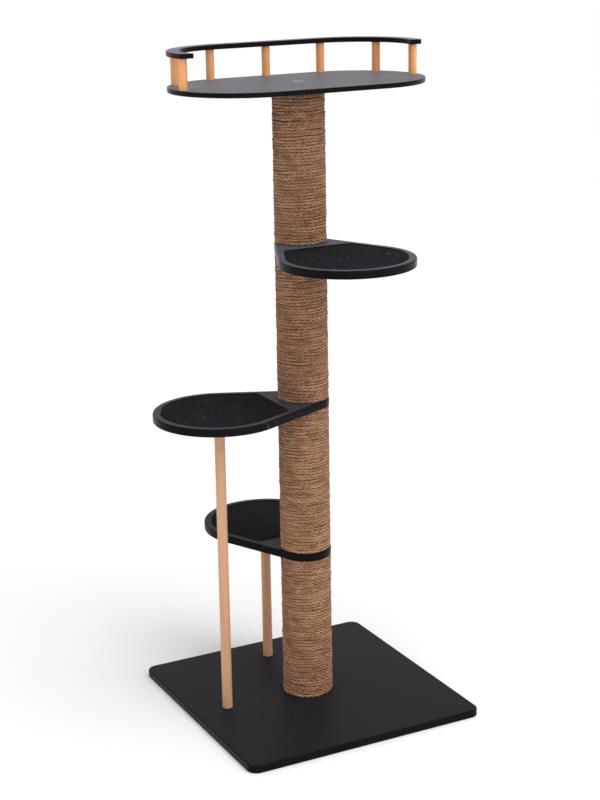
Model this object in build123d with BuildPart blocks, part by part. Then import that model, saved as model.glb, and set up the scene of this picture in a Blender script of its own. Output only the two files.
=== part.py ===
"""Cat tree: a square base, four rope-wrapped posts in one column, three teardrop
platforms turned round it, two wooden legs, and a round-ended top platform with a rail.

Millimetres, +Z up. The origin is the centre of the base plate's underside, on the
column's axis. The high, middle and low platforms point along -Y, -X and +Y."""

from build123d import *
from math import cos, radians, sin
import os

# ---------------------------------------------------------------- driving dimensions
BASE_SIDE = 500
BASE_CORNER = 20
BOARD = 15  # base plate and teardrop platforms
THIN_BOARD = 9  # top platform and rail
EDGE_ROUND = 3  # rounding of a board's upper edge
EDGE_BREAK = 1.2  # rounding of a board's other edges

POST_COUNT = 4
POST_HEIGHT = 290  # one post, from board to board
TUBE_RADIUS = 43
TUBE_WALL = 3
CAP_THICK = 18  # wooden disc that closes each end of a tube
ROPE = 6  # diameter of the rope round the tube
ROPE_FOOT_GAP = 3  # bare tube below the lowest turn
ROPE_HEAD_GAP = 1.5  # bare tube above the highest turn

# A teardrop platform is the hull of a small round end on the post and a large one.
POST_END_RADIUS = 50
SEAT_RADIUS = 125
SEAT_REACH = 180  # from the post's axis to the large end's centre
RIM = 14
RECESS = 5
PAD_START = 65  # from the post's axis to the recess
PAD_CORNER = 12
PAD_THICK = 4
PAD_GAP = 0.5
PLATFORMS = ("low", "middle", "high")  # each on top of post 0, 1 or 2
PLATFORM_TURN = {"low": 90, "middle": 180, "high": -90}  # degrees about the column

LEGGED = ("low", "middle")  # platforms that a leg holds up
LEG_RADIUS = 10
LEG_REACH = 180

TOP_LENGTH = 500
TOP_WIDTH = 285
RAIL_WIDTH = 24
RAIL_TOP = 65  # above the top platform
RAIL_CUT = -31  # the rail's two ends are cut along this Y
RAIL_POST_RADIUS = 8
RAIL_POST_INSET = RAIL_WIDTH / 2  # from the top platform's edge to a rail post's axis
RAIL_POST_STEPS = (0, 117, 228, 327)  # along the rail, each way from its middle
SPIGOT_RADIUS = 4
SPIGOT_LENGTH = 6

# Fasteners. Threads are left out: a plain cylinder stands for each.
BOLT_RADIUS = 4
BOLT_HOLE = 4.5
INSERT_RADIUS = 6
INSERT_LENGTH = 14
INSERT_FLANGE = 9
INSERT_FLANGE_THICK = 1.5
BOLT_BITE = 13  # how far a bolt or stud enters an insert
STUD_CHAMFER = 0.8
HEAD_RADIUS = 8
HEAD_HEIGHT = 4
HEAD_ROUND = 1
HEX_SOCKET = 5
HEX_SOCKET_DEPTH = 3
TOP_HEAD_RADIUS = 10
WASHER_RADIUS = 11
WASHER_THICK = 1.6
BOLT_RECESS_RADIUS = 13
BOLT_RECESS = 8
LEG_SCREW_SHANK = 2.2
LEG_SCREW_HEAD = 4.6
LEG_SCREW_LENGTH = 45
RAIL_SCREW_SHANK = 1.75
RAIL_SCREW_HEAD = 3.5
RAIL_SCREW_LENGTH = 30
SCREW_GAP = 0.05
DRIVE_WIDTH = 0.45  # a screw's hex socket, as shares of its head's radius
DRIVE_DEPTH = 0.3

COLUMN_PITCH = POST_HEIGHT + BOARD
TOP_UNDERSIDE = BOARD + POST_COUNT * POST_HEIGHT + (POST_COUNT - 1) * BOARD
TOP_SURFACE = TOP_UNDERSIDE + THIN_BOARD
RAIL_UNDERSIDE = TOP_SURFACE + RAIL_TOP - THIN_BOARD
TOP_END_CENTRE = (TOP_LENGTH - TOP_WIDTH) / 2

os.makedirs("parts", exist_ok=True)


def save(builder, name):
    """Label a finished piece and write it as its own file."""
    builder.part.label = name
    export_step(builder.part, f"parts/{name}.step")


def post_foot(index):
    """Height of the lower end of post 0, 1, 2 or 3."""
    return BOARD + index * COLUMN_PITCH


def platform_plane(turn, height):
    """Plane at a height, on the column's axis, with X along a platform."""
    along = (cos(radians(turn)), sin(radians(turn)), 0)
    return Plane(origin=(0, 0, height), x_dir=along, z_dir=(0, 0, 1))


def along_rail(distance, inset):
    """Point on the rail's path, this far along it from the middle of the back."""
    side = 1 if distance > 0 else -1
    radius = TOP_WIDTH / 2 - inset
    past = abs(distance) - TOP_END_CENTRE
    if past <= 0:
        return (distance, radius)
    turn = past / radius
    return (side * (TOP_END_CENTRE + radius * sin(turn)), radius * cos(turn))


RAIL_POST_SPOTS = [
    along_rail(side * step, RAIL_POST_INSET)
    for side in (-1, 1)
    for step in RAIL_POST_STEPS
    if step or side > 0
]
RAIL_POST_SPOTS.sort()


def countersunk_screws(name, places, shank, head, length):
    """Write one node of identical screws; each plane's Z points from head to tip."""
    with BuildPart() as screws:
        for place in places:
            with BuildSketch(place):
                Circle(head)
            extrude(amount=head - shank, taper=45)
            with BuildSketch(place):
                Circle(shank)
            extrude(amount=length)
            with BuildSketch(place):
                RegularPolygon(head * DRIVE_WIDTH, 6)
            extrude(amount=head * DRIVE_DEPTH, mode=Mode.SUBTRACT)
    save(screws, name)


def screw_hole(shank, head):
    """Through hole with a countersink, on the face that holds the current location."""
    CounterSinkHole(shank + SCREW_GAP, head + SCREW_GAP, counter_sink_angle=90)


# ---------------------------------------------------------------- base plate
def make_base_plate():
    with BuildPart() as plate:
        with BuildSketch():
            RectangleRounded(BASE_SIDE, BASE_SIDE, BASE_CORNER)
        extrude(amount=BOARD)
        fillet(plate.faces().sort_by(Axis.Z)[-1].edges(), EDGE_ROUND)
        chamfer(plate.faces().sort_by(Axis.Z)[0].edges(), EDGE_BREAK)
        underside = Plane(origin=(0, 0, 0), x_dir=(1, 0, 0), z_dir=(0, 0, -1))
        with Locations(underside):
            CounterBoreHole(BOLT_HOLE, BOLT_RECESS_RADIUS, BOLT_RECESS)
        for name in LEGGED:
            spot = platform_plane(PLATFORM_TURN[name], 0).from_local_coords((LEG_REACH, 0, 0))
            with Locations(Plane(origin=spot, z_dir=(0, 0, -1))):
                screw_hole(LEG_SCREW_SHANK, LEG_SCREW_HEAD)
    save(plate, "base_plate")


# ---------------------------------------------------------------- scratching posts
def make_post(index):
    """Tube, its two end caps and the rope wound round it."""
    foot = post_foot(index)
    number = index + 1
    with BuildPart() as tube:
        with BuildSketch(Plane.XY.offset(foot)):
            Circle(TUBE_RADIUS)
            Circle(TUBE_RADIUS - TUBE_WALL, mode=Mode.SUBTRACT)
        extrude(amount=POST_HEIGHT)
    save(tube, f"post_{number}_tube")

    ends = {"foot": (foot, 1), "head": (foot + POST_HEIGHT, -1)}
    for end, (height, inward) in ends.items():
        outer_face = Plane(origin=(0, 0, height), x_dir=(1, 0, 0), z_dir=(0, 0, -inward))
        with BuildPart() as cap:
            with BuildSketch(outer_face):
                Circle(TUBE_RADIUS - TUBE_WALL)
            extrude(amount=-CAP_THICK)
            with Locations(outer_face):
                CounterBoreHole(INSERT_RADIUS, INSERT_FLANGE, INSERT_FLANGE_THICK)
        save(cap, f"post_{number}_{end}_cap")

    with BuildPart() as wrap:
        with BuildSketch(Plane.XY.offset(foot + ROPE_FOOT_GAP)):
            Circle(TUBE_RADIUS + ROPE)
            Circle(TUBE_RADIUS, mode=Mode.SUBTRACT)
        extrude(amount=POST_HEIGHT - ROPE_FOOT_GAP - ROPE_HEAD_GAP)
        rims = wrap.edges().filter_by(GeomType.CIRCLE).group_by(SortBy.RADIUS)[-1]
        fillet(rims, ROPE / 2)
    save(wrap, f"post_{number}_rope")


def make_inserts():
    """The flanged threaded inserts in the end caps."""
    with BuildPart() as inserts:
        for index in range(POST_COUNT):
            foot = post_foot(index)
            for height, outward in ((foot, -1), (foot + POST_HEIGHT, 1)):
                face = Plane(origin=(0, 0, height), x_dir=(1, 0, 0), z_dir=(0, 0, outward))
                with BuildSketch(face):
                    Circle(INSERT_FLANGE)
                extrude(amount=-INSERT_FLANGE_THICK)
                with BuildSketch(face):
                    Circle(INSERT_RADIUS)
                extrude(amount=-INSERT_LENGTH)
                with BuildSketch(face):
                    Circle(BOLT_RADIUS + SCREW_GAP)
                extrude(amount=-INSERT_LENGTH, mode=Mode.SUBTRACT)
    save(inserts, "post_threaded_inserts")


def make_column_bolts():
    """Studs between the posts, the base bolt with its washer, and the top bolt."""
    for index in range(POST_COUNT - 1):
        platform_foot = post_foot(index) + POST_HEIGHT
        with BuildPart() as stud:
            with BuildSketch(Plane.XY.offset(platform_foot - BOLT_BITE)):
                Circle(BOLT_RADIUS)
            extrude(amount=BOARD + 2 * BOLT_BITE)
            ends = stud.edges().filter_by(GeomType.CIRCLE)
            chamfer(ends, STUD_CHAMFER)
        save(stud, f"joining_stud_{index + 1}")

    with BuildPart() as washer:
        with BuildSketch(Plane.XY.offset(BOLT_RECESS - WASHER_THICK)):
            Circle(WASHER_RADIUS)
            Circle(BOLT_HOLE, mode=Mode.SUBTRACT)
        extrude(amount=WASHER_THICK)
    save(washer, "base_bolt_washer")

    head_face = BOLT_RECESS - WASHER_THICK - HEAD_HEIGHT
    with BuildPart() as base_bolt:
        with BuildSketch(Plane.XY.offset(head_face)):
            Circle(HEAD_RADIUS)
        extrude(amount=HEAD_HEIGHT)
        fillet(base_bolt.faces().sort_by(Axis.Z)[0].edges(), HEAD_ROUND)
        with BuildSketch(Plane.XY.offset(head_face)):
            Circle(BOLT_RADIUS)
        extrude(amount=BOARD + BOLT_BITE - head_face)
        with BuildSketch(Plane.XY.offset(head_face)):
            RegularPolygon(HEX_SOCKET / 2, 6, major_radius=False)
        extrude(amount=HEX_SOCKET_DEPTH, mode=Mode.SUBTRACT)
    save(base_bolt, "base_bolt")

    downward = Plane(origin=(0, 0, TOP_SURFACE), x_dir=(1, 0, 0), z_dir=(0, 0, -1))
    countersunk_screws(
        "top_bolt", [downward], BOLT_RADIUS, TOP_HEAD_RADIUS, THIN_BOARD + BOLT_BITE
    )


# ---------------------------------------------------------------- teardrop platforms
def recess_outline(inset):
    """Outline of the recess, drawn in by inset: the teardrop's large end, cut square."""
    Circle(POST_END_RADIUS - RIM - inset)
    with Locations((SEAT_REACH, 0)):
        Circle(SEAT_RADIUS - RIM - inset)
    make_hull()
    far_end = SEAT_REACH + SEAT_RADIUS
    with Locations((PAD_START + inset + far_end / 2, 0)):
        Rectangle(far_end, 2 * SEAT_RADIUS, mode=Mode.INTERSECT)


def make_platform(name):
    """One teardrop board on top of its post, and the pad that lies in its recess."""
    turn = PLATFORM_TURN[name]
    foot = post_foot(PLATFORMS.index(name)) + POST_HEIGHT
    surface = foot + BOARD
    floor = surface - RECESS
    with BuildPart() as platform:
        with BuildSketch(platform_plane(turn, foot)):
            Circle(POST_END_RADIUS)
            with Locations((SEAT_REACH, 0)):
                Circle(SEAT_RADIUS)
            make_hull()
        extrude(amount=BOARD)
        fillet(platform.faces().sort_by(Axis.Z)[-1].edges(), EDGE_ROUND)
        fillet(platform.faces().sort_by(Axis.Z)[0].edges(), EDGE_BREAK)
        with BuildSketch(platform_plane(turn, floor)) as recess:
            recess_outline(0)
            fillet(recess.vertices().group_by(Axis.X)[0], PAD_CORNER)
        extrude(amount=RECESS, mode=Mode.SUBTRACT)
        fillet(platform.faces().sort_by(Axis.Z)[-1].inner_wires()[0].edges(), EDGE_BREAK)
        with Locations(platform_plane(turn, surface)):
            Hole(BOLT_HOLE)
        if name in LEGGED:
            with Locations(platform_plane(turn, floor) * Pos(LEG_REACH, 0, 0)):
                screw_hole(LEG_SCREW_SHANK, LEG_SCREW_HEAD)
    save(platform, f"{name}_platform")

    with BuildPart() as pad:
        with BuildSketch(platform_plane(turn, floor)) as mat:
            recess_outline(PAD_GAP)
            fillet(mat.vertices().group_by(Axis.X)[0], PAD_CORNER)
        extrude(amount=PAD_THICK)
        fillet(pad.faces().sort_by(Axis.Z)[-1].edges(), EDGE_BREAK)
    save(pad, f"{name}_pad")


# ---------------------------------------------------------------- legs
def make_leg(name):
    """Round wooden rod from the base plate to a platform, screwed at both ends."""
    foot = platform_plane(PLATFORM_TURN[name], BOARD) * Pos(LEG_REACH, 0, 0)
    length = post_foot(PLATFORMS.index(name)) + POST_HEIGHT - BOARD
    with BuildPart() as leg:
        with BuildSketch(Plane(foot)):
            Circle(LEG_RADIUS)
        extrude(amount=length)
        chamfer(leg.edges().filter_by(GeomType.CIRCLE), EDGE_BREAK / 2)
        for end in (leg.faces().sort_by(Axis.Z)[0], leg.faces().sort_by(Axis.Z)[-1]):
            with Locations(end):
                Hole(LEG_SCREW_SHANK + SCREW_GAP, depth=LEG_SCREW_LENGTH)
    save(leg, f"{name}_leg")


def make_leg_screws():
    feet = []
    heads = []
    for name in LEGGED:
        along = platform_plane(PLATFORM_TURN[name], 0)
        floor = post_foot(PLATFORMS.index(name)) + COLUMN_PITCH - RECESS
        x, y, _ = along.from_local_coords((LEG_REACH, 0, 0))
        feet.append(Plane(origin=(x, y, 0), z_dir=(0, 0, 1)))
        heads.append(Plane(origin=(x, y, floor), z_dir=(0, 0, -1)))
    for end, places in (("foot", feet), ("top", heads)):
        countersunk_screws(
            f"leg_{end}_screws", places, LEG_SCREW_SHANK, LEG_SCREW_HEAD, LEG_SCREW_LENGTH
        )


# ---------------------------------------------------------------- top platform and rail
def make_top_platform():
    with BuildPart() as top:
        with BuildSketch(Plane.XY.offset(TOP_UNDERSIDE)):
            SlotOverall(TOP_LENGTH, TOP_WIDTH)
        extrude(amount=THIN_BOARD)
        fillet(top.faces().sort_by(Axis.Z)[-1].edges(), EDGE_BREAK)
        fillet(top.faces().sort_by(Axis.Z)[0].edges(), EDGE_BREAK)
        with Locations((0, 0, TOP_SURFACE)):
            CounterSinkHole(BOLT_HOLE, TOP_HEAD_RADIUS + SCREW_GAP, counter_sink_angle=90)
        for x, y in RAIL_POST_SPOTS:
            with Locations(Plane(origin=(x, y, TOP_UNDERSIDE), z_dir=(0, 0, -1))):
                screw_hole(RAIL_SCREW_SHANK, RAIL_SCREW_HEAD)
    save(top, "top_platform")


def make_rail():
    """C-shaped rail with a blind hole under it for each rail post's spigot."""
    with BuildPart() as rail:
        with BuildSketch(Plane.XY.offset(RAIL_UNDERSIDE)):
            SlotOverall(TOP_LENGTH, TOP_WIDTH)
            SlotOverall(
                TOP_LENGTH - 2 * RAIL_WIDTH, TOP_WIDTH - 2 * RAIL_WIDTH, mode=Mode.SUBTRACT
            )
            with Locations((0, RAIL_CUT - TOP_WIDTH / 2)):
                Rectangle(TOP_LENGTH, TOP_WIDTH, mode=Mode.SUBTRACT)
        extrude(amount=THIN_BOARD)
        fillet(rail.faces().sort_by(Axis.Z)[-1].edges(), EDGE_BREAK)
        fillet(rail.faces().sort_by(Axis.Z)[0].edges(), EDGE_BREAK)
        for x, y in RAIL_POST_SPOTS:
            with Locations(Plane(origin=(x, y, RAIL_UNDERSIDE), z_dir=(0, 0, -1))):
                Hole(SPIGOT_RADIUS + SCREW_GAP, depth=SPIGOT_LENGTH + SCREW_GAP)
    save(rail, "rail")


def make_rail_posts():
    for number, (x, y) in enumerate(RAIL_POST_SPOTS, start=1):
        with BuildPart() as rail_post:
            with BuildSketch(Plane(origin=(x, y, TOP_SURFACE))):
                Circle(RAIL_POST_RADIUS)
            extrude(amount=RAIL_TOP - THIN_BOARD)
            with BuildSketch(Plane(origin=(x, y, RAIL_UNDERSIDE))):
                Circle(SPIGOT_RADIUS)
            extrude(amount=SPIGOT_LENGTH)
            with Locations(Plane(origin=(x, y, TOP_SURFACE), z_dir=(0, 0, -1))):
                Hole(RAIL_SCREW_SHANK + SCREW_GAP, depth=RAIL_SCREW_LENGTH)
        save(rail_post, f"rail_post_{number}")
    undersides = [Plane(origin=(x, y, TOP_UNDERSIDE)) for x, y in RAIL_POST_SPOTS]
    countersunk_screws(
        "rail_screws", undersides, RAIL_SCREW_SHANK, RAIL_SCREW_HEAD, RAIL_SCREW_LENGTH
    )


make_base_plate()
for post in range(POST_COUNT):
    make_post(post)
make_inserts()
make_column_bolts()
for platform_name in PLATFORMS:
    make_platform(platform_name)
for platform_name in LEGGED:
    make_leg(platform_name)
make_leg_screws()
make_top_platform()
make_rail()
make_rail_posts()
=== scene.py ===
"""The looks of a column cat tree: black boards, jute-wound posts, beech rods, felt pads.

All lengths are in metres.
"""

import math
from types import SimpleNamespace

import bpy
import numpy as np
from mathutils import Matrix, Vector


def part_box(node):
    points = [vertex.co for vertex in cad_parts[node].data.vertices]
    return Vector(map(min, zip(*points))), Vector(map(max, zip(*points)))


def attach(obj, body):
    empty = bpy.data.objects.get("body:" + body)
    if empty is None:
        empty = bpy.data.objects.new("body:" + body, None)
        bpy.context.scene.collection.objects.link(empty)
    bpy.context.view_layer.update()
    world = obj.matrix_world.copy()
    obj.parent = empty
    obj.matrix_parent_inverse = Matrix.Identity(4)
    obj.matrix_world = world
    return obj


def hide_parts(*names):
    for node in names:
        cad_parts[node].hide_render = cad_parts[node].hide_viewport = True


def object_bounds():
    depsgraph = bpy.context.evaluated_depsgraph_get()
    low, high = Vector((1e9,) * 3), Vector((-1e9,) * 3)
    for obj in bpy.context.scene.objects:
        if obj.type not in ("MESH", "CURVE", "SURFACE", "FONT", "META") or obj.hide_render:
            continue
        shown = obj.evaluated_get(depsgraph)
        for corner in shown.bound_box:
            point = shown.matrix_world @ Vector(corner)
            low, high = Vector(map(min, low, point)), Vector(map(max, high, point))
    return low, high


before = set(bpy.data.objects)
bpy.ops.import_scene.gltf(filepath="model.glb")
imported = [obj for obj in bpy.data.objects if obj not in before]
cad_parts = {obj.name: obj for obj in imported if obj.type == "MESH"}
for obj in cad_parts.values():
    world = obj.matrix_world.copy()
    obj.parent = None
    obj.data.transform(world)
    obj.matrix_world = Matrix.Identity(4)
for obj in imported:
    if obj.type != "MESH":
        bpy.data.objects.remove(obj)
CAD_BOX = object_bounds()
POST_COUNT = 4


# ---------------------------------------------------------------- camera and stage


CAMERA_PLACE = (-1.4922, -2.8527, 1.5455)
CAMERA_HEADING = 0.4599  # radians, as are the next two
CAMERA_DOWN = 0.2611
CAMERA_ROLL = -0.0224
CAMERA_LENS = 78.07  # millimetres, as is the sensor
CAMERA_SHIFT = (0.0428, -0.0408)
SENSOR = 36.0
CLIP_NEAR = 0.05
CLIP_FAR = 100.0
HORIZON_LIGHT = 1.0
ZENITH_LIGHT = 0.68
FADE_TOP = 0.8  # height on the unit dome where the light stops changing
SUN_FROM = (0.12, -0.38, 1.0)
SUN_SPREAD = 50  # degrees
SUN_LIGHT = 1.8
SOFTBOX_PLACE = (0.9, -2.6, 2.4)
SOFTBOX_SIZE = 1.2
SOFTBOX_WATTS = 22
FLOOR_TONE = 0.8
FLOOR_HALF = 30.0
FLOOR_DROP = 0.0005  # keeps the floor just clear of the base plate


def make_camera():
    """The photo's camera."""
    data = bpy.data.cameras.new("camera")
    data.sensor_width = SENSOR
    data.lens = CAMERA_LENS
    data.shift_x, data.shift_y = CAMERA_SHIFT
    data.clip_start, data.clip_end = CLIP_NEAR, CLIP_FAR
    camera = bpy.data.objects.new("camera", data)
    camera.matrix_world = (
        Matrix.Translation(CAMERA_PLACE)
        @ Matrix.Rotation(-CAMERA_HEADING, 4, "Z")
        @ Matrix.Rotation(math.pi / 2 - CAMERA_DOWN, 4, "X")
        @ Matrix.Rotation(CAMERA_ROLL, 4, "Z")
    )
    bpy.context.scene.collection.objects.link(camera)
    bpy.context.scene.camera = camera


def make_area_light(name, place, target, size, watts):
    data = bpy.data.lights.new(name, "AREA")
    data.shape = "SQUARE"
    data.size = size
    data.energy = watts
    lamp = bpy.data.objects.new(name, data)
    lamp.location = place
    aim = Vector(target) - Vector(place)
    lamp.rotation_mode = "QUATERNION"
    lamp.rotation_quaternion = aim.to_track_quat("-Z", "Y")
    bpy.context.scene.collection.objects.link(lamp)


def make_soft_sun(name, come_from, spread, light):
    data = bpy.data.lights.new(name, "SUN")
    data.energy = light
    data.angle = math.radians(spread)
    lamp = bpy.data.objects.new(name, data)
    lamp.rotation_mode = "QUATERNION"
    lamp.rotation_quaternion = (-Vector(come_from)).to_track_quat("-Z", "Y")
    bpy.context.scene.collection.objects.link(lamp)


def make_studio():
    """A pale dome, a very soft overhead light and a softbox at the front right."""
    scene = bpy.context.scene
    scene.view_settings.view_transform = "Standard"
    world = bpy.data.worlds.new("studio")
    scene.world = world
    world.use_nodes = True
    tree = world.node_tree
    background = tree.nodes["Background"]
    background.inputs["Color"].default_value = (1.0, 1.0, 1.0, 1.0)
    direction = tree.nodes.new("ShaderNodeTexCoord")
    parts = tree.nodes.new("ShaderNodeSeparateXYZ")
    fade = tree.nodes.new("ShaderNodeMapRange")
    fade.interpolation_type = "SMOOTHSTEP"
    fade.inputs["From Min"].default_value = 0.0
    fade.inputs["From Max"].default_value = FADE_TOP
    fade.inputs["To Min"].default_value = HORIZON_LIGHT
    fade.inputs["To Max"].default_value = ZENITH_LIGHT
    tree.links.new(direction.outputs["Generated"], parts.inputs[0])
    tree.links.new(parts.outputs["Z"], fade.inputs["Value"])
    tree.links.new(fade.outputs[0], background.inputs["Strength"])
    make_soft_sun("overhead", SUN_FROM, SUN_SPREAD, SUN_LIGHT)
    middle = (CAD_BOX[0] + CAD_BOX[1]) / 2
    make_area_light("front_right", SOFTBOX_PLACE, middle, SOFTBOX_SIZE, SOFTBOX_WATTS)


def make_floor():
    """A pale paper sheet that fades into the dome."""
    half = FLOOR_HALF
    mesh = bpy.data.meshes.new("floor")
    corners = [(-half, -half, 0), (half, -half, 0), (half, half, 0), (-half, half, 0)]
    mesh.from_pydata(corners, [], [(0, 1, 2, 3)])
    floor = bpy.data.objects.new("floor", mesh)
    floor.location.z = CAD_BOX[0].z - FLOOR_DROP
    bpy.context.scene.collection.objects.link(floor)
    sheet = Material("floor_paper", colour=(FLOOR_TONE,) * 3, roughness=0.9, Specular_IOR_Level=0.0)
    mesh.materials.append(sheet.material)


# ---------------------------------------------------------------- materials


class Material:
    """A Principled material and short calls that add nodes to it."""

    def __init__(self, name, colour=(0.5, 0.5, 0.5), roughness=0.5, **own):
        self.material = bpy.data.materials.new(name)
        self.material.use_nodes = True
        self.tree = self.material.node_tree
        self.shader = self.tree.nodes["Principled BSDF"]
        self.shader.inputs["Base Color"].default_value = (*colour, 1.0)
        self.shader.inputs["Roughness"].default_value = roughness
        for socket, value in own.items():
            self.shader.inputs[socket.replace("_", " ")].default_value = value

    def wire(self, socket, value):
        if isinstance(value, bpy.types.NodeSocket):
            self.tree.links.new(value, socket)
        else:
            socket.default_value = value

    def add(self, kind, inputs, output=0, **settings):
        node = self.tree.nodes.new(kind)
        for key, value in settings.items():
            setattr(node, key, value)
        for key, value in inputs.items():
            self.wire(node.inputs[key], value)
        return node.outputs[output]

    def place(self):
        return self.add("ShaderNodeTexCoord", {}, "Object")

    def attribute(self, name, output):
        return self.add("ShaderNodeAttribute", {}, output, attribute_name=name)

    def stretched(self, vector, scale):
        return self.add("ShaderNodeMapping", {"Vector": vector, "Scale": scale})

    def shifted(self, vector, offset):
        return self.add("ShaderNodeVectorMath", {0: vector, 1: offset}, operation="ADD")

    def noise(self, vector, scale, detail=3.0, roughness=0.5, output=0):
        given = {"Vector": vector, "Scale": scale, "Detail": detail, "Roughness": roughness}
        return self.add("ShaderNodeTexNoise", given, output)

    def specks(self, vector, scale, size):
        """1 inside small round spots, 0 outside."""
        near = self.add("ShaderNodeTexVoronoi", {"Vector": vector, "Scale": scale}, "Distance")
        return self.between(near, size, size * 0.5)

    def between(self, value, start, end, low=0.0, high=1.0):
        """Goes smoothly from low to high while value goes from start to end."""
        given = {"Value": value, "From Min": start, "From Max": end, "To Min": low, "To Max": high}
        return self.add("ShaderNodeMapRange", given, 0, interpolation_type="SMOOTHSTEP")

    def calc(self, operation, a, b):
        return self.add("ShaderNodeMath", {0: a, 1: b}, operation=operation)

    def ramp(self, value, stops):
        node = self.tree.nodes.new("ShaderNodeValToRGB")
        self.wire(node.inputs[0], value)
        ramp = node.color_ramp
        while len(ramp.elements) < len(stops):
            ramp.elements.new(0.5)
        for element, (position, colour) in zip(ramp.elements, stops):
            element.position = position
            element.color = (*colour, 1.0)
        return node.outputs[0]

    def two_tone(self, value, dark, light, start=0.3, end=0.7):
        return self.ramp(value, [(start, dark), (end, light)])

    def mix(self, share, first, second):
        node = self.tree.nodes.new("ShaderNodeMix")
        node.data_type = "RGBA"
        self.wire(node.inputs["Factor"], share)
        self.wire(node.inputs["A"], first)
        self.wire(node.inputs["B"], (*second, 1.0))
        return node.outputs["Result"]

    def patched(self, base, value, start, end, most, colour):
        """Lays up to `most` of a colour over the base as value goes from start to end."""
        return self.mix(self.between(value, start, end, 0.0, most), base, colour)

    def bump(self, height, distance, strength=1.0, normal=None):
        given = {"Height": height, "Distance": distance, "Strength": strength}
        if normal is not None:
            given["Normal"] = normal
        return self.add("ShaderNodeBump", given)

    def finish(self, colour, normal, roughness=None):
        self.wire(self.shader.inputs["Base Color"], colour)
        self.wire(self.shader.inputs["Normal"], normal)
        if roughness is not None:
            self.wire(self.shader.inputs["Roughness"], roughness)
        return self.material


def black_board():
    """Black coated board: matt, with a fine tooth, faint scuffs, dust and a little wear."""
    coat_dark = (0.004, 0.0038, 0.005)
    coat_light = (0.0072, 0.0069, 0.0088)
    scratch_grey = (0.09, 0.09, 0.095)
    dust_grey = (0.25, 0.24, 0.23)
    m = Material("black_board", roughness=0.45, Specular_IOR_Level=0.03)
    m.shader.inputs["Sheen Weight"].default_value = 0.38
    m.shader.inputs["Sheen Tint"].default_value = (0.9, 0.88, 1.0, 1.0)
    m.shader.inputs["Sheen Roughness"].default_value = 0.3
    where = m.place()
    cloudy = m.noise(where, 9.0, 4.0)
    tooth = m.noise(where, 1400.0, 2.0)
    scuffs = m.noise(m.stretched(where, (6.0, 160.0, 60.0)), 1.0, 4.0, 0.6)
    dust = m.specks(where, 110.0, 0.07)
    body = m.two_tone(cloudy, coat_dark, coat_light)
    scratched = m.patched(body, scuffs, 0.68, 0.74, 0.4, scratch_grey)
    dusty = m.mix(m.calc("MULTIPLY", dust, 0.5), scratched, dust_grey)
    rough = m.between(cloudy, 0.3, 0.7, 0.42, 0.5)
    fine = m.bump(tooth, 0.00006, 0.5)
    return m.finish(dusty, m.bump(scuffs, 0.00005, 0.3, fine), rough)


def black_felt():
    """Dense needle felt: tangled fibres, a soft sheen and pale lint."""
    fibre_dark = (0.0012, 0.0013, 0.002)
    fibre_light = (0.022, 0.0225, 0.029)
    worn_grey = (0.015, 0.0155, 0.02)
    lint_grey = (0.24, 0.24, 0.25)
    m = Material("black_felt", roughness=1.0, Specular_IOR_Level=0.02)
    m.shader.inputs["Sheen Weight"].default_value = 0.012
    m.shader.inputs["Sheen Roughness"].default_value = 0.5
    where = m.place()
    tangled = m.shifted(where, m.noise(where, 60.0, 3.0))
    fibres = m.noise(tangled, 900.0, 4.0, 0.7)
    patches = m.noise(where, 22.0, 4.0)
    body = m.two_tone(fibres, fibre_dark, fibre_light, 0.34, 0.68)
    worn = m.patched(body, patches, 0.45, 0.75, 0.45, worn_grey)
    bend = m.stretched(m.noise(where, 120.0, 1.0, output=1), (0.012, 0.012, 0.0))
    bent = m.shifted(where, bend)
    along_x = m.specks(m.stretched(bent, (0.3, 1.9, 1.0)), 150.0, 0.13)
    along_y = m.specks(m.stretched(bent, (1.9, 0.3, 1.0)), 150.0, 0.13)
    lint = m.calc("MAXIMUM", along_x, along_y)
    kept = m.calc("MULTIPLY", lint, m.between(m.noise(where, 35.0, 2.0), 0.46, 0.6))
    linty = m.mix(m.calc("MULTIPLY", kept, 0.7), worn, lint_grey)
    return m.finish(linty, m.bump(fibres, 0.001, 0.9))


def beech(name, light, dark, fleck):
    """Turned beech rod: straight fine grain along the rod with short darker pores."""
    m = Material(name, roughness=0.45, Specular_IOR_Level=0.4)
    where = m.place()
    grain = m.noise(m.stretched(where, (90.0, 90.0, 3.0)), 1.0, 4.0, 0.6)
    pores = m.noise(m.stretched(where, (900.0, 900.0, 70.0)), 1.0, 2.0, 0.5)
    flecked = m.patched(m.two_tone(grain, dark, light), pores, 0.62, 0.72, 0.55, fleck)
    return m.finish(flecked, m.bump(pores, 0.0001, 0.35), m.between(grain, 0.3, 0.7, 0.5, 0.38))


def cap_wood():
    """Pale softwood discs glued into the tube's ends."""
    m = Material("cap_wood", roughness=0.7)
    rings = m.noise(m.stretched(m.place(), (14.0, 220.0, 220.0)), 1.0, 4.0, 0.6)
    body = m.two_tone(rings, (0.38, 0.24, 0.12), (0.56, 0.4, 0.23))
    return m.finish(body, m.bump(rings, 0.0002, 0.4))


def paper_tube():
    """Spiral-wound kraft paper, coloured darker than kraft as painted shade, so the strip under each
    rope reads as the shaded gap.
    """
    m = Material("paper_tube", roughness=0.85)
    pulp = m.noise(m.place(), 350.0, 5.0, 0.65)
    # Painted shade: both tones are darker than kraft paper.
    body = m.two_tone(pulp, (0.17, 0.105, 0.06), (0.27, 0.175, 0.105))
    return m.finish(body, m.bump(pulp, 0.0002, 0.4))


def metal(name, light, dark, roughness):
    """Plated steel with fine tool marks and slightly clouded plating."""
    m = Material(name, roughness=roughness, Metallic=1.0)
    where = m.place()
    cloud = m.noise(where, 260.0, 4.0)
    marks = m.noise(m.stretched(where, (500.0, 500.0, 3500.0)), 1.0, 2.0)
    rough = m.between(cloud, 0.3, 0.7, roughness * 0.8, roughness * 1.25)
    return m.finish(m.two_tone(cloud, dark, light), m.bump(marks, 0.00004, 0.4), rough)


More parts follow.
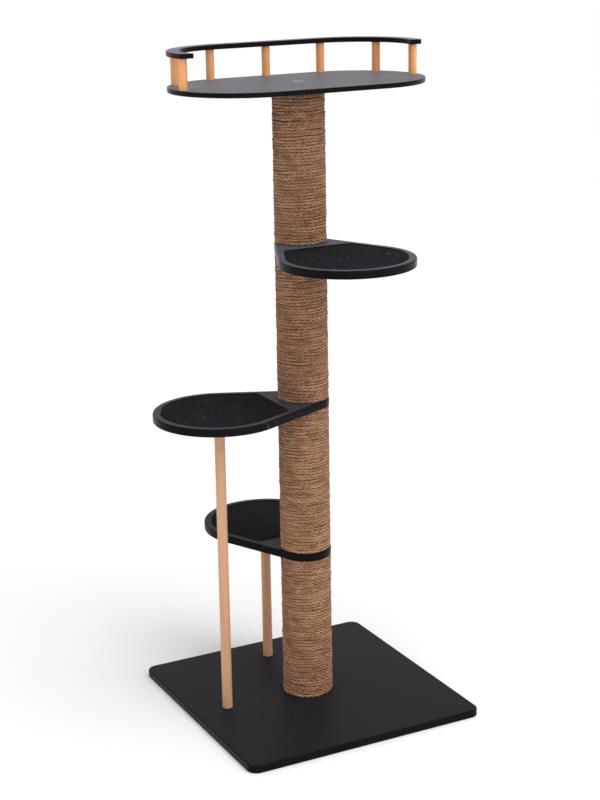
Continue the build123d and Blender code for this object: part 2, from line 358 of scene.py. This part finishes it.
def jute():
    """Twisted jute: fibres along the rope, painted shade between the strands and between the turns,
    pale loose hairs.

    rope_lay holds each point's place as if the rope were laid out straight, and
    rope_crest is 0 between two strands, 1 on top of one and HAIR_MARK on a loose hair.
    """
    fibre_dark = (0.16, 0.072, 0.036)
    fibre_middle = (0.44, 0.228, 0.128)
    fibre_light = (0.8, 0.52, 0.32)
    m = Material("jute_rope", roughness=0.9, Specular_IOR_Level=0.25)
    lay = m.attribute("rope_lay", "Vector")
    crest = m.attribute("rope_crest", "Fac")
    fibre = m.noise(m.stretched(lay, (140.0, 1500.0, 1500.0)), 1.0, 5.0, 0.75)
    bundle = m.noise(m.stretched(lay, (45.0, 520.0, 520.0)), 1.0, 2.0)
    length_tone = m.noise(m.stretched(lay, (14.0, 120.0, 120.0)), 1.0, 3.0)
    stain = m.noise(m.place(), 26.0, 3.0)
    flecks = m.noise(m.stretched(lay, (260.0, 420.0, 420.0)), 1.0, 1.0)
    # level, the mask below it and its unevenness pick out where neighbouring turns meet, for painted
    # shade there.
    level = m.calc("ABSOLUTE", m.add("ShaderNodeSeparateXYZ", {0: lay}, "Z"), 0.0)
    uneven_gap_shade = m.between(m.noise(m.stretched(lay, (22.0, 0.0, 0.0)), 1.0, 3.0), 0.35, 0.65, 0.35, 0.95)
    turn_gap_shade = m.calc("MULTIPLY", m.between(level, 0.0016, 0.0028), uneven_gap_shade)
    body = m.ramp(fibre, [(0.3, fibre_dark), (0.5, fibre_middle), (0.68, fibre_light)])
    bundled = m.patched(body, bundle, 0.48, 0.62, 0.75, (0.13, 0.058, 0.031))
    toned = m.patched(bundled, length_tone, 0.35, 0.65, 0.4, (0.25, 0.12, 0.068))
    stained = m.patched(toned, stain, 0.45, 0.7, 0.4, (0.22, 0.112, 0.055))
    # Painted shade: the colour is darkened in the valleys between strands, where crest is near 0.
    deep = m.patched(stained, crest, 0.5, 0.0, 0.6, (0.1, 0.046, 0.024))
    # Painted shade: the colour is darkened in the gaps between neighbouring turns.
    turn_gap_shaded = m.mix(turn_gap_shade, deep, (0.095, 0.04, 0.021))
    flecked = m.patched(turn_gap_shaded, flecks, 0.72, 0.78, 0.8, (0.05, 0.025, 0.014))
    haired = m.patched(flecked, crest, 1.4, 1.6, 0.85, (0.62, 0.45, 0.3))
    return m.finish(haired, m.bump(fibre, 0.0006, 0.9))


def paint_frame(looks):
    """Gives each carried-over CAD node its finish."""
    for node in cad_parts.values():
        finish = looks[node.material_slots[0].material.name.split(".")[0]]
        for place in node.material_slots:
            place.material = finish


# ---------------------------------------------------------------- shared by the new pieces


def tube_faces(rings, points):
    """Quads between rings of points, as indices into ring after ring."""
    ring = np.arange(rings - 1)[:, None] * points
    here = np.arange(points)[None, :]
    there = (here + 1) % points
    quads = np.stack([ring + here, ring + there, ring + points + there, ring + points + here], -1)
    return quads.reshape(-1, 4).tolist()


def closed_tube(rings, points):
    """A tube's quads and its two end faces."""
    last = (rings - 1) * points
    ends = [list(range(points))[::-1], list(range(last, last + points))]
    return tube_faces(rings, points) + ends


def new_piece(name, mesh_name, points, faces, finish):
    """A smooth-shaded object in one finish."""
    mesh = bpy.data.meshes.new(mesh_name)
    mesh.from_pydata(np.array(points).tolist(), [], faces)
    mesh.polygons.foreach_set("use_smooth", np.ones(len(mesh.polygons), bool))
    mesh.materials.append(finish)
    mesh.update()
    piece = bpy.data.objects.new(name, mesh)
    bpy.context.scene.collection.objects.link(piece)
    return piece


def keep_values(piece, name, kind, field, values):
    """Stores a number or a vector for each point, for the piece's material to read."""
    stored = piece.data.attributes.new(name, kind, "POINT")
    stored.data.foreach_set(field, values.astype(np.float32).ravel())


def smooth(x):
    """0 to 1 with a gentle start and end."""
    x = np.clip(x, 0.0, 1.0)
    return x * x * (3 - 2 * x)


# ---------------------------------------------------------------- rope


STRANDS = 3
ROPE_POINTS = 12  # round the rope's section
ROPE_STEP = 0.0019  # along the rope
LAY_LENGTH = 0.03  # one full twist of the strands
STRAND_DEPTH = 0.36  # depth of the valley between strands, as a share of the radius
STRAND_ROUND = 0.8  # below 1, a valley is narrower than its strand
SQUARE_POWER = 0.68  # below 1, a circle is pushed out towards a square
SWELL = 1.05  # makes neighbouring turns touch
PACKED = 1.12  # how far a turn spreads along the post
TURN_PRESS = 0.96  # a turn's pitch as a share of the rope's thickness
FOOT_SLACK = 0.0023  # how far the first turn starts below the CAD sleeve
HEAD_SLACK = 0.0008  # how far the last turn ends above it
START_ANGLES = (-226, -214)  # degrees
JOG_START = 0.58  # share of a turn after which a level ring steps up
END_TURNS = 10.0  # over which the level rings become a helix
HELIX_LAG = 0.3  # turns by which the even helix trails the winding
CALM_TURNS = 3  # at each end, held clear of ripples and gaps
CALM_WANDER = 0.25  # share of the rise's wander that reaches the ends
END_GIRTH = 0.55  # share of its thickness that the rope's tip has
END_TAPER = 0.012  # length over which it thins to that
PROUD = 0.0003  # how far the rope's middle stands off on average
ROPE_SEED = 400

# Each wander is a spacing along the rope and a size.
RISE_WANDER = (0.04, 0.0006)
PROUD_SLOW = (0.028, 0.0005)
PROUD_QUICK = (0.009, 0.0004)
GIRTH_SLOW = (0.06, 0.05)
GIRTH_QUICK = (0.009, 0.08)
TWIST_WANDER = (0.09, 1.2)

RIPPLE_SIZE = 0.0018
RIPPLE_WAVES = (1, 2, 3, 4, 5, 7)  # round the post
RIPPLE_RATES = (60.0, 150.0)  # radians per metre of height
RIPPLE_CALM = 3.0  # the summed waves are divided by this
GAP_COUNT = 12
GAP_SIZE = 0.0004
GAP_MARGIN = 0.03  # at the top and foot, free of gaps
GAP_WIDTHS = (0.15, 0.4)  # radians
GAP_REACH = 0.012  # height over which the turns close up again

HAIRS = 340
FOOT_HAIRS = 30  # of the hairs, those on the first turn
HEAD_HAIRS = 20
HAIR_MARGIN = 20  # rings at each end that carry no hair
HAIR_STEPS = 5
HAIR_SIDES = 3
HAIR_CLIMB = 0.8  # steepest rise or fall along a hair
HAIR_LENGTHS = (0.003, 0.009)
HAIR_LIFTS = (0.1, 0.5)  # share of its length that a hair stands off
HAIR_THICKS = (0.00008, 0.00015)
HAIR_TAPER = 0.75  # share of its thickness lost by the tip
HAIR_DROOP = 1.2  # lower values bend the tip back to the rope
HAIR_ROOT = 0.0003  # how deep a hair starts in the rope
HAIR_OUT = 0.95  # of the rope's radius, where a hair starts
HAIR_SPREAD = 0.6  # of the rope's radius, up or down
HAIR_LAY_GAP = 0.1  # between hairs in rope_lay, so each has its own fibres
HAIR_MARK = 2.0  # rope_crest on a loose hair


def wander(rng, along, spacing, size):
    """A smooth random line through values a set spacing apart."""
    count = int(along.max() / spacing) + 3
    values = rng.uniform(-1.0, 1.0, count)
    at = along / spacing
    left = np.floor(at).astype(int)
    return size * (values[left] + (values[left + 1] - values[left]) * smooth(at - left))


def squared(x):
    """Pushes a circle's sine or cosine out towards a square's, as packed turns press flat."""
    return np.sign(x) * np.abs(x) ** SQUARE_POWER


def ripple(rng, angle, height):
    """Slow waves over the post's face that neighbouring turns share."""
    total = np.zeros_like(angle)
    for turns in RIPPLE_WAVES:
        rate = rng.uniform(*RIPPLE_RATES)
        phase = rng.uniform(0.0, 2 * math.pi, 2)
        total += np.sin(turns * angle + phase[0]) * np.sin(rate * height + phase[1]) / turns**0.5
    return RIPPLE_SIZE * total / RIPPLE_CALM


def gaps(rng, angle, height, low, high):
    """A few places where two turns stand slightly apart."""
    shift = np.zeros_like(angle)
    for _ in range(GAP_COUNT):
        at_angle = rng.uniform(0, 2 * math.pi)
        at_height = rng.uniform(low + GAP_MARGIN, high - GAP_MARGIN)
        width = rng.uniform(*GAP_WIDTHS)
        turned = (angle - at_angle + math.pi) % (2 * math.pi) - math.pi
        near = np.exp(-((turned / width) ** 2)) * np.exp(-np.abs(height - at_height) / GAP_REACH)
        shift += GAP_SIZE * near * np.sign(height - at_height)
    return shift


def rise_of(turn, turns):
    """Turns climbed: an even helix in the middle, level rings with one step up at both ends."""
    whole = np.floor(turn)
    stepped = whole + smooth((turn - whole - JOG_START) / (1 - JOG_START))
    even = turn - HELIX_LAG
    last = turns - turn
    share = np.maximum(smooth(1 - turn / END_TURNS), smooth(1 - last / END_TURNS))
    return even + (stepped - even) * share


def wind(rng, foot, head, thick, line_radius):
    """The rope's middle line round one post, with how proud and how thick it is on the way."""
    turns = round((head - foot) / (thick * TURN_PRESS))
    pitch = (head - foot - thick) / (turns - 1)
    end_turn = turns - 1 + JOG_START
    count = int(end_turn * 2 * math.pi * line_radius / ROPE_STEP)
    turn = np.linspace(0.0, end_turn, count)
    along = turn * 2 * math.pi * line_radius
    angle = math.radians(rng.uniform(*START_ANGLES)) + 2 * math.pi * turn
    height = foot + thick / 2 + pitch * rise_of(turn, turns)
    edge = np.minimum(height - foot, head - height) - thick / 2
    inside = smooth(edge / (CALM_TURNS * thick))
    height = height + inside * ripple(rng, angle, height)
    height = height + inside * gaps(rng, angle, height, foot, head)
    moved = CALM_WANDER + (1 - CALM_WANDER) * inside
    height = height + moved * wander(rng, along, *RISE_WANDER)
    proud = PROUD + wander(rng, along, *PROUD_SLOW) + wander(rng, along, *PROUD_QUICK)
    girth = 1.0 + wander(rng, along, *GIRTH_SLOW) + wander(rng, along, *GIRTH_QUICK)
    ends = np.minimum(along, along[-1] - along)
    girth = girth * (END_GIRTH + (1 - END_GIRTH) * smooth(ends / END_TAPER))
    return SimpleNamespace(
        turns=turns,
        along=along,
        angle=angle,
        height=height,
        proud=proud,
        girth=girth,
    )


def lay_strands(rng, line, radius, line_radius):
    """Rings of points along the line, each with its place in the straight rope and its crest."""
    twist = 2 * math.pi * line.along / LAY_LENGTH + wander(rng, line.along, *TWIST_WANDER)
    corner = 2 * math.pi * np.arange(ROPE_POINTS) / ROPE_POINTS
    crest = np.abs(np.sin(corner * STRANDS / 2)) ** STRAND_ROUND
    around = corner[None, :] - twist[:, None]
    depth = 1.0 - STRAND_DEPTH * (1.0 - crest)
    size = radius * SWELL * line.girth[:, None] * depth[None, :]
    out = size * squared(np.cos(around)) + line.proud[:, None] + line_radius
    up = size * squared(np.sin(around)) * PACKED
    x = out * np.cos(line.angle)[:, None]
    y = out * np.sin(line.angle)[:, None]
    points = np.stack([x, y, line.height[:, None] + up], -1)
    run = np.repeat(line.along[:, None], ROPE_POINTS, 1)
    lay = np.stack([run, radius * np.cos(around), radius * np.sin(around)], -1)
    return points.reshape(-1, 3), lay.reshape(-1, 3), np.tile(crest, len(line.along))


def one_hair(rng, root, outward, sideways, lay_start):
    """A thin tube that lifts off the rope and tapers out: its points and their lay."""
    out = Vector(outward)
    run = Vector(sideways * rng.choice((-1.0, 1.0)))
    climb = Vector((0, 0, 1)) * rng.uniform(-HAIR_CLIMB, HAIR_CLIMB)
    length = rng.uniform(*HAIR_LENGTHS)
    lift = rng.uniform(*HAIR_LIFTS)
    thick = rng.uniform(*HAIR_THICKS)
    points = []
    lay = []
    for step in range(HAIR_STEPS):
        t = step / (HAIR_STEPS - 1)
        middle = Vector(root) + (run + climb * t) * length * t
        middle += out * (length * lift * t * (HAIR_DROOP - t) - HAIR_ROOT)
        radius = thick * (1 - HAIR_TAPER * t)
        for side in range(HAIR_SIDES):
            turn = 2 * math.pi * side / HAIR_SIDES
            across = radius * math.cos(turn)
            rise = radius * math.sin(turn)
            points.append(middle + out * across + Vector((0, 0, rise)))
            lay.append((lay_start + length * t, across, rise))
    return points, lay


def loose_hairs(rng, line, radius, line_radius):
    """All of one rope's hairs: points, their lay, and faces."""
    count = len(line.along)
    ring = count // line.turns
    chosen = rng.randint(HAIR_MARGIN, count - HAIR_MARGIN, HAIRS)
    chosen[:FOOT_HAIRS] = rng.randint(HAIR_MARGIN, ring, FOOT_HAIRS)
    head_end = FOOT_HAIRS + HEAD_HAIRS
    chosen[FOOT_HAIRS:head_end] = rng.randint(count - ring, count - HAIR_MARGIN, HEAD_HAIRS)
    cosine = np.cos(line.angle[chosen])
    sine = np.sin(line.angle[chosen])
    outward = np.stack([cosine, sine, np.zeros(HAIRS)], -1)
    sideways = np.stack([-sine, cosine, np.zeros(HAIRS)], -1)
    roots = outward * (line_radius + radius * HAIR_OUT)
    roots[:, 2] = line.height[chosen] + radius * rng.uniform(-HAIR_SPREAD, HAIR_SPREAD, HAIRS)
    points = []
    lays = []
    faces = []
    for k in range(HAIRS):
        base = len(points)
        hair, lay = one_hair(rng, roots[k], outward[k], sideways[k], k * HAIR_LAY_GAP)
        points += hair
        lays += lay
        faces += [[v + base for v in face] for face in closed_tube(HAIR_STEPS, HAIR_SIDES)]
    return np.array(points), np.array(lays), faces


def make_rope(index, finish):
    """One post's rope, laid from strands and wound turn on turn, with both ends tucked away."""
    node = f"post_{index}_rope"
    low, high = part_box(node)
    tube_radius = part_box(f"post_{index}_tube")[1].x
    thick = high.x - tube_radius
    line_radius = tube_radius + thick / 2
    rng = np.random.RandomState(ROPE_SEED + index)
    line = wind(rng, low.z - FOOT_SLACK, high.z + HEAD_SLACK, thick, line_radius)
    points, lay, crest = lay_strands(rng, line, thick / 2, line_radius)
    hair, hair_lay, hair_faces = loose_hairs(rng, line, thick / 2, line_radius)
    faces = [face[::-1] for face in closed_tube(len(line.along), ROPE_POINTS)]
    faces += [[v + len(points) for v in face] for face in hair_faces]
    rope = new_piece(f"wound_rope_{index}", node, np.concatenate([points, hair]), faces, finish)
    keep_values(rope, "rope_lay", "FLOAT_VECTOR", "vector", np.concatenate([lay, hair_lay]))
    crest = np.concatenate([crest, np.full(len(hair), HAIR_MARK)])
    keep_values(rope, "rope_crest", "FLOAT", "value", crest)
    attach(rope, "stand")
    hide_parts(node)


# ---------------------------------------------------------------- felt pads


PAD_LEGS = {"low": "low_leg", "middle": "middle_leg", "high": None}
PAD_SEEDS = {"low": 71, "middle": 72, "high": 73}
PAD_OUTLINE_POINTS = 260
PAD_RINGS = 40
PHASES = 6.28  # about a full circle
CUT_INSET = 0.0003
CUT_RAGGED = 0.00014
CUT_WAVES = (3, 7, 11, 19, 31)  # round the outline
FACE_INSET = 0.0028  # of the face's outermost ring
FACE_WAVES = 14
FACE_WAVE_LENGTHS = (0.03, 0.12)
FACE_WAVE_SIZE = 0.00008
HUB_RISE = 0.0001  # of the face's middle point

# Up the cut edge: an inset and a share of the thickness.
CUT_PROFILE = ((0.0012, 0.0), (0.0003, 0.15), (0.0, 0.4), (0.0001, 0.7), (0.0006, 0.9), (0.0016, 0.985))
# Over the leg's screw: a distance from the leg's axis, a width and a rise.
SCREW_MARKS = ((0.0055, 0.0022, 0.0006), (0.012, 0.004, -0.0003))


def outline_of(node, count):
    """The node's convex outline from above, as evenly spaced points in order."""
    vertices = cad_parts[node].data.vertices
    spots = sorted({(round(v.co.x, 6), round(v.co.y, 6)) for v in vertices})
    hull = []
    for way in (spots, spots[::-1]):
        start = len(hull)
        for spot in way:
            while len(hull) >= start + 2:
                ax, ay = hull[-1][0] - hull[-2][0], hull[-1][1] - hull[-2][1]
                bx, by = spot[0] - hull[-1][0], spot[1] - hull[-1][1]
                if ax * by - ay * bx > 0:
                    break
                hull.pop()
            hull.append(spot)
        hull.pop()
    corners = np.array(hull + hull[:1])
    run = np.concatenate([[0.0], np.cumsum(np.linalg.norm(np.diff(corners, axis=0), axis=1))])
    at = np.linspace(0.0, run[-1], count, endpoint=False)
    return np.stack([np.interp(at, run, corners[:, 0]), np.interp(at, run, corners[:, 1])], -1)


def at_level(spots, z):
    """Points over flat spots, all at one height."""
    return np.column_stack([spots, np.full(len(spots), z)])


def cut_edge(rng, edge, low_z, thick):
    """Points up the pad's cut edge, slightly ragged, ring after ring."""
    ahead = np.roll(edge, -1, 0) - np.roll(edge, 1, 0)
    ahead /= np.linalg.norm(ahead, axis=1)[:, None]
    outward = np.stack([ahead[:, 1], -ahead[:, 0]], -1)
    run = np.arange(len(edge)) / len(edge) * 2 * math.pi
    ragged = sum(CUT_RAGGED * np.sin(k * run + rng.uniform(0, PHASES)) for k in CUT_WAVES)
    cut = edge + outward * (ragged[:, None] - CUT_INSET)
    rings = [at_level(cut - outward * inset, low_z + thick * share) for inset, share in CUT_PROFILE]
    return np.concatenate(rings), edge - outward * FACE_INSET


def felt_face(rng, border, centre, z, leg):
    """Points over the pad's slightly uneven face, raised over the leg's screw."""
    shares = [1.0 - ring / PAD_RINGS for ring in range(PAD_RINGS)]
    top = np.concatenate([at_level(centre + (border - centre) * share, z) for share in shares])
    waves = np.zeros(len(top))
    for _ in range(FACE_WAVES):
        direction = rng.uniform(0, 2 * math.pi)
        rate = 2 * math.pi / rng.uniform(*FACE_WAVE_LENGTHS)
        phase = rng.uniform(0, PHASES)
        run = top[:, 0] * math.cos(direction) + top[:, 1] * math.sin(direction)
        waves += np.sin(rate * run + phase)
    top[:, 2] += FACE_WAVE_SIZE * waves
    if leg is not None:
        leg_low, leg_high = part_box(leg)
        leg_axis = (leg_low + leg_high) / 2
        away = np.hypot(top[:, 0] - leg_axis.x, top[:, 1] - leg_axis.y)
        for distance, width, rise in SCREW_MARKS:
            top[:, 2] += rise * np.exp(-(((away - distance) / width) ** 2))
    return top


def make_pad(name, finish, leg):
    """A cut felt pad: soft cut edge, slightly uneven face, and a raised spot over the leg's screw."""
    node = f"{name}_pad"
    low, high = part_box(node)
    rng = np.random.RandomState(PAD_SEEDS[name])
    edge = outline_of(node, PAD_OUTLINE_POINTS)
    centre = edge.mean(0)
    side, border = cut_edge(rng, edge, low.z, high.z - low.z)
    top = felt_face(rng, border, centre, high.z, leg)
    points = np.concatenate([side, top, [[*centre, high.z + HUB_RISE]]])
    rings = len(CUT_PROFILE) + PAD_RINGS
    last = (rings - 1) * PAD_OUTLINE_POINTS
    hub = len(points) - 1
    faces = tube_faces(rings, PAD_OUTLINE_POINTS)
    faces += [[last + k, last + (k + 1) % PAD_OUTLINE_POINTS, hub] for k in range(PAD_OUTLINE_POINTS)]
    faces.append(list(range(PAD_OUTLINE_POINTS))[::-1])
    pad = new_piece(f"felt_{name}_pad", node, points, faces, finish)
    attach(pad, node)
    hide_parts(node)


# ---------------------------------------------------------------- guard rail


RAIL_BREAK = 0.0012  # rounding of the rail's long edges
RAIL_SUPPORT = 0.0004  # flat strip beside each rounding, which keeps the faces' shading level
CORNER_POINTS = 6
ARC_RINGS = 110
BACK_RINGS = 24
END_INSET = 0.98  # below 1, so the last section's corners don't shrink to a point


def rail_profile(inner, outer, low, high, inset):
    """The rail's rounded section as (distance from the path's centre, height) pairs."""
    points = []
    for corner, (across, up) in enumerate([(outer, high), (inner, high), (inner, low), (outer, low)]):
        side = 1 if across == outer else -1
        top = 1 if up == high else -1
        middle_across = across - side * RAIL_BREAK
        middle_up = up - top * RAIL_BREAK
        first = math.pi / 2 * corner
        bends = [first + math.pi / 2 * k / (CORNER_POINTS - 1) for k in range(CORNER_POINTS)]
        size = RAIL_BREAK - inset
        arc = [(middle_across + size * math.cos(b), middle_up + size * math.sin(b)) for b in bends]
        before = Vector((math.sin(first), -math.cos(first))) * RAIL_SUPPORT
        after = Vector((-math.cos(first), -math.sin(first))) * RAIL_SUPPORT
        points.append((arc[0][0] + before.x, arc[0][1] + before.y))
        points.extend(arc)
        points.append((arc[-1][0] + after.x, arc[-1][1] + after.y))
    return points


def rail_rings(low, high, width):
    """The rail's sections in order, from its left end round the back to its right end."""
    end_centre = high.x - high.y
    stop = low.y + RAIL_BREAK
    body = rail_profile(high.y - width, high.y, low.z, high.z, 0.0)
    rings = []
    for k in range(CORNER_POINTS - 1, 0, -1):
        bend = math.pi / 2 * k / (CORNER_POINTS - 1)
        inset = RAIL_BREAK * (1 - math.cos(bend)) * END_INSET
        section = rail_profile(high.y - width, high.y, low.z, high.z, inset)
        y = stop - RAIL_BREAK * math.sin(bend)
        rings.append([(-end_centre - math.sqrt(far**2 - y**2), y, up) for far, up in section])
    for step in range(ARC_RINGS):
        ring = []
        for far, up in body:
            start = math.asin(stop / far)
            turn = start + (math.pi / 2 - start) * step / (ARC_RINGS - 1)
            ring.append((-end_centre - far * math.cos(turn), far * math.sin(turn), up))
        rings.append(ring)
    right = [[(-x, y, z) for x, y, z in ring] for ring in reversed(rings)]
    for step in range(1, BACK_RINGS):
        x = end_centre * (2 * step / BACK_RINGS - 1)
        rings.append([(x, far, up) for far, up in body])
    return rings + right


def make_rail(finish):
    """The C-shaped rail, swept round the back and both ends, with evenly rounded edges."""
    low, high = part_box("rail")
    post_low, post_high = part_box("rail_post_4")
    rings = rail_rings(low, high, 2 * high.y - post_low.y - post_high.y)
    faces = closed_tube(len(rings), len(rings[0]))
    rail = new_piece("guard_rail", "guard_rail", np.concatenate(rings), faces, finish)
    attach(rail, "stand")
    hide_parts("rail")


# ---------------------------------------------------------------- the whole scene


LOOKS = {
    "black_board": black_board(),
    "black_felt": black_felt(),
    "jute_rope": jute(),
    "paper_tube": paper_tube(),
    "cap_wood": cap_wood(),
    "leg_wood": beech(
        "leg_wood",
        light=(0.65, 0.36, 0.205),
        dark=(0.54, 0.283, 0.155),
        fleck=(0.38, 0.17, 0.085),
    ),
    "rail_post_wood": beech(
        "rail_post_wood",
        light=(0.86, 0.395, 0.155),
        dark=(0.68, 0.29, 0.105),
        fleck=(0.46, 0.17, 0.055),
    ),
    "black_steel": metal(
        "black_steel",
        light=(0.42, 0.41, 0.42),
        dark=(0.28, 0.275, 0.28),
        roughness=0.3,
    ),
    "zinc_steel": metal(
        "zinc_steel",
        light=(0.75, 0.75, 0.73),
        dark=(0.55, 0.55, 0.54),
        roughness=0.32,
    ),
}

make_camera()
make_studio()
make_floor()
paint_frame(LOOKS)
for post in range(1, POST_COUNT + 1):
    make_rope(post, LOOKS["jute_rope"])
for platform, platform_leg in PAD_LEGS.items():
    make_pad(platform, LOOKS["black_felt"], platform_leg)
make_rail(LOOKS["black_board"])
